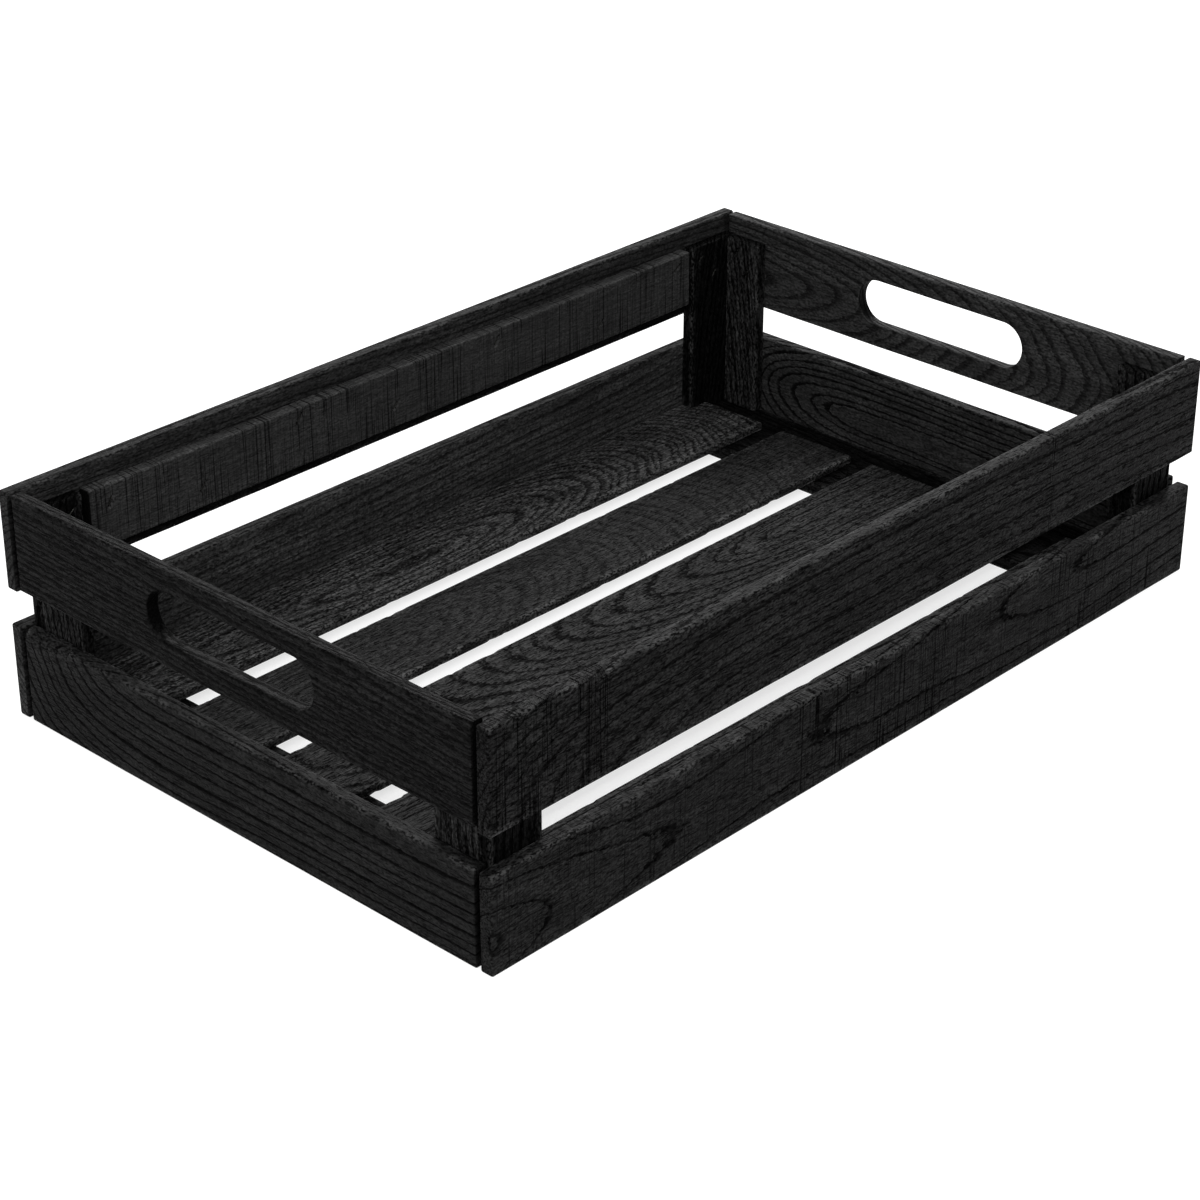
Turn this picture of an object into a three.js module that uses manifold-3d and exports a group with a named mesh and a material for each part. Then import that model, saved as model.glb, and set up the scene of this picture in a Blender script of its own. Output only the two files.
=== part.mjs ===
// Shallow slatted wooden crate in black-stained open-grain boards. Millimetres, +Z up.
// Origin: centre of the footprint, on the plane the crate rests on. X runs along the long sides.
import * as THREE from 'three';
import * as BufferGeometryUtils from 'three/addons/utils/BufferGeometryUtils.js';
import Module from 'manifold-3d';

const wasm = await Module();
wasm.setup();

// ---- driving dimensions ----
const LENGTH = 555;            // over the ends of the long wall boards
const WIDTH = 350;             // over the faces of the long wall boards
const HEIGHT = 130;            // floor to rim
const BOARD = 8;               // wall and corner boards
const GAP = 0.3;               // clearance where two pieces meet
const EASE = 1.0;              // sanded arris on every board

const LOWER_TOP = 54;          // top edge of every lower wall board
const LONG_UPPER_FROM = 74;    // bottom edge of the upper long boards
const END_UPPER_FROM = 76;     // bottom edge of the upper end boards
const RIGHT_LOWER_TOP = 56.5;  // the right lower end board is cut slightly wider
const END_CLEARANCE = 2.5;     // shadow gap between an end board and the long boards

const HOLE_LENGTH = 120;       // hand hole, overall
const HOLE_HEIGHT = 28;        // hand hole, also twice its end radius
const HOLE_Z = 104;            // centre of the hand hole

const LEDGE_Z = 119;           // tops of the posts and ledgers, where a tray sits
const LEDGER_FROM = 84;
const LEDGER_DEPTH = 9;
const LEDGER_GAP = 3.5;        // open joint between a ledger and the corner posts

const BATTEN_TOP = 8;          // flat cross battens under the floor
const BATTEN_LEFT = 53.5;      // widths of the two battens
const BATTEN_RIGHT = 61.5;

const SLAT_TOP = 13.7;
const SLAT_INSET_LEFT = 33;    // slat ends, measured from the outer end faces
const SLAT_INSET_RIGHT = 33;
// Floor slats from front to back, as [from, to] measured from the front face.
const SLATS = [[8.5, 57.3], [75, 129.3], [145.5, 199.7], [215.5, 270.7], [286.5, 341.5]];

// Corner posts: width of the leg on the long wall and far edge of the leg on the end wall.
const POSTS = {
  front_left: { x: -1, y: -1, long: 34, end: 29 },
  front_right: { x: 1, y: -1, long: 35, end: 28 },
  back_left: { x: -1, y: 1, long: 32, end: 33 },
  back_right: { x: 1, y: 1, long: 39, end: 26 },
};

// Staples: 6 mm crown, driven from inside through the inner piece into the wall board.
const CROWN = 6;
const WIRE = 0.9;
const LEG = 13;
const SUNK = 0.4;
// Along the ledger: distance from the outer left end, height, slant of the crown in degrees.
const LEDGER_STAPLES = [
  [57, 108.6, 62], [118, 95.6, 48], [187, 112.5, 55], [258, 97.2, 40],
  [338, 111.4, 58], [425, 94.9, 50], [493, 111.2, 35],
];
const POST_STAPLES = [[0.35, 98, 52], [0.7, 110.7, 40]];   // share of the leg, height, slant

const halfL = LENGTH / 2;
const halfW = WIDTH / 2;
const wallX = halfL - BOARD;   // inner face of the end boards
const wallY = halfW - BOARD;   // inner face of the long boards

const COLOURS = {
  wall: { color: 0x1e1c1b, roughness: 0.62, metalness: 0 },
  frame: { color: 0x1a1817, roughness: 0.66, metalness: 0 },
  floor: { color: 0x2a2523, roughness: 0.7, metalness: 0 },
  staple: { color: 0x4c4b49, roughness: 0.45, metalness: 1 },
};

const part = new THREE.Group();
part.name = 'slatted_crate';

// Turns the drawing plane and extrusion so that the thickness lies along the named axis.
const TURN = {
  x: new THREE.Matrix4().makeBasis(
    new THREE.Vector3(0, 1, 0), new THREE.Vector3(0, 0, 1), new THREE.Vector3(1, 0, 0)),
  y: new THREE.Matrix4().makeBasis(
    new THREE.Vector3(0, 0, 1), new THREE.Vector3(1, 0, 0), new THREE.Vector3(0, 1, 0)),
  z: new THREE.Matrix4(),
};
const PLANE = { x: ['y', 'z'], y: ['z', 'x'], z: ['x', 'y'] };

// A board between two corners with eased arrises. `thin` is the axis of its thickness;
// `hole` is an optional stadium { length, height, at } cut right through the face.
function board(lo, hi, thin, hole) {
  const low = new THREE.Vector3(...lo);
  const high = new THREE.Vector3(...hi);
  const size = high.clone().sub(low);
  const [u, v] = PLANE[thin];
  const a = size[u] / 2 - EASE;
  const b = size[v] / 2 - EASE;
  const shape = new THREE.Shape();
  shape.moveTo(-a, -b).lineTo(a, -b).lineTo(a, b).lineTo(-a, b).closePath();
  if (hole) {
    const r = hole.height / 2 + EASE;
    const s = (hole.length - hole.height) / 2;
    const path = new THREE.Path();
    path.absarc(s, hole.at, r, -Math.PI / 2, Math.PI / 2, false);
    path.absarc(-s, hole.at, r, Math.PI / 2, 1.5 * Math.PI, false);
    path.closePath();
    shape.holes.push(path);
  }
  const depth = size[thin] - 2 * EASE;
  const geometry = new THREE.ExtrudeGeometry(shape, {
    depth, bevelEnabled: true, bevelSize: EASE, bevelThickness: EASE, bevelSegments: 1,
    curveSegments: 14,
  });
  geometry.translate(0, 0, -depth / 2);
  geometry.applyMatrix4(TURN[thin]);
  const middle = low.add(high).multiplyScalar(0.5);
  geometry.translate(middle.x, middle.y, middle.z);
  return geometry;
}

function toSolid(geometry) {
  const bare = geometry.clone();
  bare.deleteAttribute('normal');
  bare.deleteAttribute('uv');
  const welded = BufferGeometryUtils.mergeVertices(bare, 1e-4);
  return new wasm.Manifold(new wasm.Mesh({
    numProp: 3,
    vertProperties: new Float32Array(welded.attributes.position.array),
    triVerts: new Uint32Array(welded.index.array),
  }));
}

function toGeometry(solid) {
  const mesh = solid.getMesh();
  const geometry = new THREE.BufferGeometry();
  geometry.setAttribute('position', new THREE.BufferAttribute(mesh.vertProperties, 3));
  geometry.setIndex(new THREE.BufferAttribute(mesh.triVerts, 1));
  geometry.computeVertexNormals();
  return geometry;
}

// A U-shaped staple whose crown lies on a face. `at` is the crown's centre on the face,
// `inward` the axis direction the legs are driven along. The slant leans the crown to the right
// as seen from inside the crate; `grow` adds clearance all round.
function staple(at, inward, slant, grow) {
  const wire = WIRE + 2 * grow;
  const top = grow > 0 ? -2 : SUNK;
  const crownDepth = SUNK + WIRE + grow - top;
  const crown = new THREE.BoxGeometry(CROWN + 2 * grow, wire, crownDepth);
  crown.translate(0, 0, top + crownDepth / 2);
  let solid = toSolid(crown);
  const legDepth = SUNK + LEG + grow - top;
  for (const side of [-1, 1]) {
    const leg = new THREE.BoxGeometry(wire, wire, legDepth);
    leg.translate(side * (CROWN - WIRE) / 2, 0, top + legDepth / 2);
    solid = solid.add(toSolid(leg));
  }
  const geometry = toGeometry(solid);
  geometry.rotateZ(THREE.MathUtils.degToRad(-slant));
  const z = new THREE.Vector3(...inward);
  const y = new THREE.Vector3(0, 0, 1);
  const x = y.clone().cross(z);
  geometry.applyMatrix4(new THREE.Matrix4().makeBasis(x, y, z));
  geometry.translate(...at);
  return geometry;
}

function add(name, geometry, look) {
  const mesh = new THREE.Mesh(geometry, new THREE.MeshStandardMaterial(COLOURS[look]));
  mesh.name = name;
  part.add(mesh);
}

// ---- lay out the boards, then drive the staples, then place everything ----
const boards = new Map();
const staples = [];

// Long wall boards run the full length; the end boards fit between them.
for (const [side, y] of [['front', -1], ['back', 1]]) {
  const faces = [y * halfW, y * wallY].sort((p, q) => p - q);
  boards.set(`${side}_board_lower`, { look: 'wall', geometry:
    board([-halfL, faces[0], 0], [halfL, faces[1], LOWER_TOP], 'y') });
  boards.set(`${side}_board_upper`, { look: 'wall', geometry:
    board([-halfL, faces[0], LONG_UPPER_FROM], [halfL, faces[1], HEIGHT], 'y') });
}
for (const [side, x, lowerTop] of [['left', -1, LOWER_TOP], ['right', 1, RIGHT_LOWER_TOP]]) {
  const faces = [x * halfL, x * wallX].sort((p, q) => p - q);
  const run = wallY - END_CLEARANCE;
  boards.set(`${side}_end_board_lower`, { look: 'wall', geometry:
    board([faces[0], -run, 0], [faces[1], run, lowerTop], 'x') });
  boards.set(`${side}_end_board_upper`, { look: 'wall', geometry:
    board([faces[0], -run, END_UPPER_FROM], [faces[1], run, HEIGHT], 'x',
      { length: HOLE_LENGTH, height: HOLE_HEIGHT, at: HOLE_Z - (END_UPPER_FROM + HEIGHT) / 2 }) });
}

// Each corner post is two upright boards: one on the long wall, one butted to it on the end wall.
const postFoot = BATTEN_TOP + GAP;
for (const [corner, { x, y, long, end }] of Object.entries(POSTS)) {
  const longX = [x * (wallX - GAP), x * (wallX - long)].sort((p, q) => p - q);
  const longY = [y * (wallY - GAP), y * (wallY - BOARD)].sort((p, q) => p - q);
  boards.set(`post_${corner}_long`, { look: 'frame', geometry:
    board([longX[0], longY[0], postFoot], [longX[1], longY[1], LEDGE_Z], 'y') });
  const endX = [x * (wallX - GAP), x * (wallX - BOARD)].sort((p, q) => p - q);
  const endY = [y * (wallY - BOARD - GAP), y * (wallY - BOARD - end)].sort((p, q) => p - q);
  boards.set(`post_${corner}_end`, { look: 'frame', geometry:
    board([endX[0], endY[0], postFoot], [endX[1], endY[1], LEDGE_Z], 'x') });
  POST_STAPLES.forEach(([share, z, slant], i) => {
    const wall = y < 0 ? 'front' : 'back';
    staples.push({
      name: `staple_post_${corner}_long_${i + 1}`, slant, inward: [0, y, 0],
      at: [x * (wallX - long * (0.15 + share * 0.9)), y * (wallY - BOARD), z],
      through: [`post_${corner}_long`, `${wall}_board_upper`],
    });
    const gable = x < 0 ? 'left' : 'right';
    staples.push({
      name: `staple_post_${corner}_end_${i + 1}`, slant, inward: [x, 0, 0],
      at: [x * (wallX - BOARD), y * (wallY - BOARD - end * (0.9 - share * 0.9)), z],
      through: [`post_${corner}_end`, `${gable}_end_board_upper`],
    });
  });
}

// Ledgers fill the long walls between the posts, level with the post tops.
for (const [side, y] of [['front', -1], ['back', 1]]) {
  const x0 = -wallX + POSTS[`${side}_left`].long + LEDGER_GAP;
  const x1 = wallX - POSTS[`${side}_right`].long - LEDGER_GAP;
  const faces = [y * (wallY - GAP), y * (wallY - LEDGER_DEPTH)].sort((p, q) => p - q);
  boards.set(`ledger_${side}`, { look: 'frame', geometry:
    board([x0, faces[0], LEDGER_FROM], [x1, faces[1], LEDGE_Z], 'y') });
  LEDGER_STAPLES.forEach(([fromLeft, z, slant], i) => staples.push({
    name: `staple_ledger_${side}_${i + 1}`, slant, inward: [0, y, 0],
    at: [fromLeft - halfL, y * (wallY - LEDGER_DEPTH), z],
    through: [`ledger_${side}`, `${side}_board_upper`],
  }));
}

// Two flat battens cross the bottom; posts stand on them and the slats lie over them.
const battenY = wallY - GAP;
const battenX = wallX - GAP;
boards.set('cross_batten_left', { look: 'frame', geometry:
  board([-battenX, -battenY, 0], [-battenX + BATTEN_LEFT, battenY, BATTEN_TOP], 'z') });
boards.set('cross_batten_right', { look: 'frame', geometry:
  board([battenX - BATTEN_RIGHT, -battenY, 0], [battenX, battenY, BATTEN_TOP], 'z') });

// Lengthwise floor slats; the outer two are notched round the posts on the long walls.
SLATS.forEach(([from, to], i) => {
  boards.set(`floor_slat_${i + 1}`, { look: 'floor', geometry:
    board([SLAT_INSET_LEFT - halfL, from - halfW, BATTEN_TOP + GAP],
      [halfL - SLAT_INSET_RIGHT, to - halfW, SLAT_TOP], 'z') });
});
for (const { x, y, long } of Object.values(POSTS)) {
  const slat = boards.get(y < 0 ? 'floor_slat_1' : `floor_slat_${SLATS.length}`);
  const wide = long + GAP + 10;
  const deep = BOARD + GAP + 10;
  const notch = new THREE.BoxGeometry(wide, deep, 20);
  notch.translate(x * (wallX + 10 - wide / 2), y * (wallY + 10 - deep / 2), SLAT_TOP);
  slat.geometry = toGeometry(toSolid(slat.geometry).subtract(toSolid(notch)));
}

// Drive the staples: every piece a staple passes through gets its own clearance.
for (const { name, at, inward, slant, through } of staples) {
  const room = toSolid(staple(at, inward, slant, GAP));
  for (const key of through) {
    const piece = boards.get(key);
    piece.geometry = toGeometry(toSolid(piece.geometry).subtract(room));
  }
  add(name, staple(at, inward, slant, 0), 'staple');
}
for (const [name, { geometry, look }] of boards) add(name, geometry, look);

export default part;
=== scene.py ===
"""Slatted crate in black-stained ash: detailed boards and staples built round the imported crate."""

import math

import bpy
import numpy as np
from bpy.props import FloatProperty, FloatVectorProperty, PointerProperty
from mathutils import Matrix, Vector


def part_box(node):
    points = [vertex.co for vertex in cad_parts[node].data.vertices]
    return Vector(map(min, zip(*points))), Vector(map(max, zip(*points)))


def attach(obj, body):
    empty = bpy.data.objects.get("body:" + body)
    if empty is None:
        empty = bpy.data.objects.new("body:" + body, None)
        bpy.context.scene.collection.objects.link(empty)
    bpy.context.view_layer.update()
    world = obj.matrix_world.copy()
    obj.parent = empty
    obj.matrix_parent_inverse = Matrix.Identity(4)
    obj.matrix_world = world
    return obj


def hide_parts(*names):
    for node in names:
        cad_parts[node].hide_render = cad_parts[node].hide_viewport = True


bl_info = {
    "name": "Slatted Crate",
    "version": (1, 0, 0),
    "blender": (4, 5, 0),
    "location": "View3D > Sidebar > Crate",
    "description": "Builds the boards, staples and stage of a black-stained slatted crate",
    "category": "Add Mesh",
}

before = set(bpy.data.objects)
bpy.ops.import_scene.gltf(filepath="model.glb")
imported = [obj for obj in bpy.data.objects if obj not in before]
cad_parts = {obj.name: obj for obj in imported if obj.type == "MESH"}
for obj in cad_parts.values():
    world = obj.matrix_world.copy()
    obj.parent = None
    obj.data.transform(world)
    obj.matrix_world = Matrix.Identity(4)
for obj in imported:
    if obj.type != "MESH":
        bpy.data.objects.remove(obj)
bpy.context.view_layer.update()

MM = 0.001
HAND_HOLE_LENGTH = 120 * MM
HAND_HOLE_HEIGHT = 28 * MM
HAND_HOLE_CENTRE = 104 * MM     # above the base
HAND_HOLE_RADIUS = HAND_HOLE_HEIGHT / 2
HAND_HOLE_STRAIGHT = HAND_HOLE_LENGTH / 2 - HAND_HOLE_RADIUS    # half the straight part
CORNERS = ("front_left", "front_right", "back_left", "back_right")
STAPLE_CROWN = 6 * MM
STAPLE_WIRE = 0.9 * MM
STAPLE_BEND = 0.9 * MM          # radius of the wire's two bends, along its middle
GROOVE_MESH = np.arange(-4, 4.1, 0.5) * MM      # mesh places either side of a staple
GROOVE_DEPTH = 1.3 * MM
GROOVE_REACH = 1.5 * MM         # from the crown's line to where the face is whole again
GROOVE_SLOPE = 1.1 * MM         # width of the groove's sloping side
LONG_BOARD = 0.27               # only the long wall boards are longer than twice this
JOINT_STRIP = 9 * MM            # of a long board's inner face: where an end board meets it, and 1 mm of painted shade beside it
POOLED_AND_SHADED_TONE = 0.25              # how dark pooled stain and painted shade leave a board, as a share of its tone
X, Y, Z = 0, 1, 2


def linear(code):
    """An sRGB hex colour as three linear numbers."""
    shown = [int(code[i:i + 2], 16) / 255 for i in (1, 3, 5)]
    return [v / 12.92 if v <= 0.04045 else ((v + 0.055) / 1.055) ** 2.4 for v in shown]


class CrateTimberSettings(bpy.types.PropertyGroup):
    """Sizes and colours of the stained timber and the staples."""

    stain: FloatVectorProperty(
        name="Stain", description="Black stain on smooth wood between the pores",
        default=linear("#141414"), size=3, subtype="COLOR", min=0, max=1)
    slat_stain: FloatVectorProperty(
        name="Slat stain", description="Thinner stain on the floor slats",
        default=linear("#191919"), size=3, subtype="COLOR", min=0, max=1)
    pore: FloatVectorProperty(
        name="Pores", description="Open pores, where the stain has pooled",
        default=linear("#040404"), size=3, subtype="COLOR", min=0, max=1)
    # pale colour of rubbed and chipped arrises; it also paints the highlight along them
    wear_and_highlight: FloatVectorProperty(
        name="Worn edges", description="Rubbed and chipped edges",
        default=linear("#4a4a4a"), size=3, subtype="COLOR", min=0, max=1)
    steel: FloatVectorProperty(
        name="Staples", description="Staple wire dulled by the stain",
        default=linear("#2c2c2a"), size=3, subtype="COLOR", min=0, max=1)
    ease: FloatProperty(
        name="Eased edge", description="Radius rubbed on every edge of a board",
        default=1.1 * MM, min=0.2 * MM, max=2.5 * MM, unit="LENGTH")
    step: FloatProperty(
        name="Mesh step", description="Spacing of the mesh along a board",
        default=2.2 * MM, min=0.8 * MM, max=10 * MM, unit="LENGTH")
    wander: FloatProperty(
        name="Wander", description="How far a face wanders inside its true plane",
        default=0.25 * MM, min=0, max=MM, unit="LENGTH")


class CrateStageSettings(bpy.types.PropertyGroup):
    """The floor, the light and the camera."""

    floor: FloatVectorProperty(
        name="Floor", description="Colour of the plain floor",
        default=linear("#a0a0a0"), size=3, subtype="COLOR", min=0, max=1)
    azimuth: FloatProperty(
        name="Azimuth", description="Camera direction; 0 looks along +Y",
        default=math.radians(-46.7), subtype="ANGLE")
    elevation: FloatProperty(
        name="Elevation", description="Camera height above the horizon",
        default=math.radians(27.9), subtype="ANGLE")
    distance: FloatProperty(
        name="Distance", description="From the camera to its aim",
        default=1.549, min=0.2, unit="LENGTH")
    lens: FloatProperty(
        name="Lens", description="Focal length on a 36 mm sensor",
        default=90.3, min=10, max=300)
    aim: FloatVectorProperty(
        name="Aim", description="Point the camera looks at",
        default=(-0.0665, -0.043, 0.065), size=3, subtype="XYZ", unit="LENGTH")
    sky: FloatProperty(
        name="Surroundings", description="Brightness of the white surroundings",
        default=0.4, min=0)
    back_light: FloatProperty(
        name="Back light", description="Power of the panel behind the crate, in watts",
        default=105, min=0)
    key_light: FloatProperty(
        name="Key light", description="Power of the soft panel in front of the crate, in watts",
        default=78, min=0)
    table_glow: FloatProperty(
        name="Table glow", description="Brightness of the lit floor by itself",
        default=0.7, min=0)


# ---- timber: how each board was cut ----

class Cut:
    """How one board was cut from its log, and what has happened to it since.

    pith     where the heart of the log lies: (across, below) the middle of the board
    ring     width of a year's growth
    lean     how fast the heart drifts along the board: (across, below), as a slope
    bow      how fast the depth below the face opens out before and after `heart_at`,
             per metre
    heart_at the place along the board from which lean and bow are measured
    figure   how strongly its texture, its ring lines and its broad season bands show
    sawn     how strongly the saw marks show
    tone     darker or lighter than its neighbours: partly the board's own stain, partly painted light and shade
    edge     the same again for its narrow faces, as painted light and shade for how light falls on them
    pooled   (from, to) across its inner face: painted shade beside another piece
    patches  stretches where the saw tore the wood: (place along, half length, strength)
    chips    breaks on an arris: (place along, half length, side across, side through, depth)
    ragged   depth of the small chips all along the arrises
    """

    def __init__(self, pith, ring, lean=(0, 0), bow=(0, 0), heart_at=0.0, figure=(1.0, 0.8, 0.8),
                 sawn=0.3, tone=1.0, edge=1.0, pooled_and_shaded=(0, 0), patches=(), chips=(),
                 ragged=0.5 * MM):
        self.pith, self.ring, self.lean, self.bow = pith, ring, lean, bow
        self.heart_at, self.figure, self.sawn = heart_at, figure, sawn
        self.tone, self.edge, self.pooled_and_shaded = tone, edge, pooled_and_shaded
        self.patches, self.chips, self.ragged = patches, chips, ragged


# tone is partly painted light and shade: back and right boards lightened inside, front ones darkened
WALL_CUTS = {
    "front_board_lower": Cut((0.004, 0.0335), 10 * MM, (0.06, 0.0), (-1.2, -0.28), -0.13,
                             figure=(0.9, 1.0, 0.1), sawn=0.6, tone=0.9, ragged=0.7 * MM,
                             patches=((-0.04, 0.03, 0.6), (0.03, 0.045, 0.9), (0.2, 0.06, 0.4))),
    "front_board_upper": Cut((-0.034, 0.012), 6.5 * MM, (0.0, 0.0), (0.8, 0.12), -0.02,
                             figure=(1.1, 0.75, 0.6), sawn=0.15, tone=0.8,
                             ragged=0.7 * MM,
                             patches=((-0.252, 0.03, 2.2), (-0.21, 0.011, 5),
                                      (0.141, 0.0012, 6)),
                             chips=((-0.204, 5 * MM, 1, -1, 4 * MM),)),
    "back_board_lower": Cut((0.05, 0.04), 3.6 * MM, (0.02, 0.02), figure=(0.7, 0.7, 0.5),
                            sawn=0.4, tone=2.9, edge=0.15),
    # its strip across the inner face is painted shade under the back ledger
    "back_board_upper": Cut((-0.04, 0.05), 3.6 * MM, (0.01, 0.05), figure=(0.6, 0.6, 0.6),
                            sawn=0.2, tone=1.8, edge=0.5, pooled_and_shaded=(-0.028, -0.014)),
    "left_end_board_lower": Cut((0.045, 0.012), 5.6 * MM, (0.0, 0.0), (0.15, 4.0), 0.045,
                                figure=(0.65, 0.75, 1.6), sawn=0.1, tone=0.98, edge=0.7,
                                chips=((0.147, 21 * MM, 1, -1, 6 * MM),)),
    "left_end_board_upper": Cut((0.05, 0.04), 2.6 * MM, (0.03, 0.02), figure=(0.8, 0.55, 0.7),
                                sawn=0.15, tone=0.68, edge=0.6, ragged=0.15 * MM),
    "right_end_board_lower": Cut((0.0, 0.007), 3.6 * MM, (0.03, 0.01), (0, 3.0), 0.05,
                                 figure=(0.6, 1.0, 1.3), sawn=0.15, tone=2.2, edge=0.6),
    "right_end_board_upper": Cut((-0.002, 0.03), 3.4 * MM, (0.0, -0.2), (0.3, 0.3), 0.05,
                                 figure=(0.6, 0.6, 0.9), sawn=0.15, tone=2.6, edge=0.8),
}
# tone: long legs darkened as painted shade in the corners, end legs lightened as painted light
POST_CUTS = {f"post_{corner}_{leg}": Cut((0.02 + 0.01 * i, 0.03), 3 * MM, (0.05, 0.05 * i),
                                         figure=(1.0, 1.0, 1.0), sawn=0.2, edge=0.3,
                                         tone=0.3 if leg == "long" else 1.6)
             for i, corner in enumerate(CORNERS) for leg in ("long", "end")}
# tone: the ledgers are lightened, painted light on them
LEDGER_CUTS = {
    node: Cut((depth, 0.05), 3 * MM, (0.0, 0.03), figure=(0.4, 0.15, 0.1), sawn=1.6,
              tone=2.7, edge=1.2, ragged=0.15 * MM)
    for node, depth in (("ledger_front", 0.03), ("ledger_back", 0.04))
}
# tone: the right batten is darkened, painted shade in the far corner
BATTEN_CUTS = {
    "cross_batten_left": Cut((0.01, 0.03), 3.5 * MM, (0, 0.1), tone=0.6),
    "cross_batten_right": Cut((0.0, 0.03), 3.5 * MM, (0, -0.1), tone=0.3),
}
SLAT_CUTS = {
    "floor_slat_1": Cut((0.0, 0.02), 3.8 * MM, (0.01, 0.15), (0.2, 0.2), 0.1, sawn=0.1,
                        edge=0.8, ragged=1.1 * MM),
    "floor_slat_2": Cut((0.002, 0.03), 4.2 * MM, (-0.02, 0.2), (0.1, 0.1), sawn=0.1,
                        edge=0.8, ragged=1.2 * MM),
    "floor_slat_3": Cut((0.018, 0.024), 4.2 * MM, (-0.03, -0.2), figure=(1.2, 0.8, 0.5),
                        sawn=0.05, tone=1.05, edge=0.6, ragged=1.3 * MM),
    "floor_slat_4": Cut((0.005, 0.03), 3.6 * MM, (0.02, 0.3), (0.5, 0.5),
                        figure=(1.0, 0.22, 0.7), sawn=0.1, tone=0.95, edge=0.5,
                        ragged=1.4 * MM),
    "floor_slat_5": Cut((0.0, 0.0095), 2.6 * MM, (0.0, 0.0), (0.25, 1.0), -0.031,
                        figure=(1.1, 0.75, 1.3), sawn=0.05, tone=2.6, edge=0.6,
                        ragged=1.1 * MM,
                        chips=((-0.2, 12 * MM, 1, 1, 3 * MM), (-0.16, 5 * MM, 1, 1, 2 * MM))),
}


def noise(points, size, seed):
    """Smooth noise from -1 to 1: random values on the corners of a lattice with cells of
    `size` (one number or one per axis), blended across each cell with 3t^2 - 2t^3."""
    cell = points / np.asarray(size, float)
    base = np.floor(cell).astype(np.int64)
    t = cell - base
    t = t * t * (3 - 2 * t)
    total = np.zeros(len(points))
    for corner in np.ndindex(2, 2, 2):
        key = (base + corner).astype(np.uint64)
        value = (key[:, 0] * np.uint64(73856093)) ^ (key[:, 1] * np.uint64(19349663))
        value ^= (key[:, 2] * np.uint64(83492791)) ^ np.uint64(seed * 2654435761 % 2**32)
        value = (value ^ (value >> np.uint64(13))) * np.uint64(1274126177)
        value = ((value ^ (value >> np.uint64(16))) & np.uint64(0xFFFF)).astype(float)
        share = np.prod(np.where(np.array(corner) == 1, t, 1 - t), axis=1)
        total += share * (value / 32767.5 - 1)
    return total


def smooth(x):
    """0 below 0, 1 above 1, and 3x^2 - 2x^3 between."""
    x = np.clip(x, 0, 1)
    return x * x * (3 - 2 * x)


def stretches(along, listed):
    """The summed strength of the listed stretches at each place, faded at their ends."""
    total = np.zeros(len(along))
    for place, reach, strength in listed:
        total += strength * smooth(2.5 * (1 - np.abs(along - place) / reach))
    return total


def spread(low, high, step, extra=()):
    """Places from low to high about a step apart, closer near both ends, and at `extra`."""
    tight = np.array([0.4, 1.0, 1.8, 2.8, 4.2]) * MM
    tight = tight[tight < (high - low) / 2.5]
    ends = np.concatenate([[low, high], low + tight, high - tight])
    inner = low + (tight[-1] if len(tight) else 0), high - (tight[-1] if len(tight) else 0)
    count = max(2, math.ceil((inner[1] - inner[0]) / step) + 1)
    places = np.concatenate([ends, np.linspace(*inner, count), np.asarray(extra, float)])
    return np.unique(np.round(places[(places >= low) & (places <= high)], 7))


def quarter(count):
    """Angles strictly inside a quarter turn."""
    return np.linspace(0, math.pi / 2, count + 2)[1:-1]


def ring_section(across, thick, ease, rows):
    """Rounded rectangle round a board: the wide faces at `rows`, the narrow faces at four
    places, and a quarter circle of radius `ease` on each corner. Anticlockwise."""
    b, c = across / 2 - ease, thick / 2 - ease
    side = np.linspace(-c, c, 4)
    turn = quarter(3)
    legs = [
        (rows, np.full(len(rows), -thick / 2)),
        (b + ease * np.sin(turn), -c - ease * np.cos(turn)),
        (np.full(4, across / 2), side),
        (b + ease * np.cos(turn), c + ease * np.sin(turn)),
        (rows[::-1], np.full(len(rows), thick / 2)),
        (-b - ease * np.sin(turn), c + ease * np.cos(turn)),
        (np.full(4, -across / 2), side[::-1]),
        (-b - ease * np.cos(turn), -c - ease * np.sin(turn)),
    ]
    return np.concatenate([leg[0] for leg in legs]), np.concatenate([leg[1] for leg in legs])


def plain_board(length, across, thick, ease, stations, rows, notches=()):
    """A board as its section carried along its length. Near each end the section shrinks
    along a quarter circle, and a flat face closes it. A notch pushes one side of the
    section in: the across coordinate is squeezed to the width that is left there.
    Returns points (station, ring, 3) as along, across, through."""
    b, c = ring_section(across, thick, ease, rows)
    turn = np.concatenate([quarter(3), [math.pi / 2, math.pi / 2]])
    inset = ease * (1 - np.cos(turn)) + np.array([0, 0, 0, 0, 0.4 * MM])
    reach = length / 2 - ease + ease * np.sin(turn)
    along = np.concatenate([-reach[::-1], stations, reach])
    shrink = np.concatenate([inset[::-1], np.zeros(len(stations)), inset])
    wide = 1 - shrink[:, None] / (across / 2)
    deep = 1 - shrink[:, None] / (thick / 2)
    points = np.stack([np.broadcast_to(along[:, None], (len(along), len(b))),
                       b * wide, c * deep], axis=2)
    for start, stop, side, depth in notches:
        inside = (along >= start) & (along <= stop)
        left = 1 - depth / across
        squeezed = side * -across / 2 + (points[inside, :, 1] + side * across / 2) * left
        points[inside, :, 1] = squeezed
    return points


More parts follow.
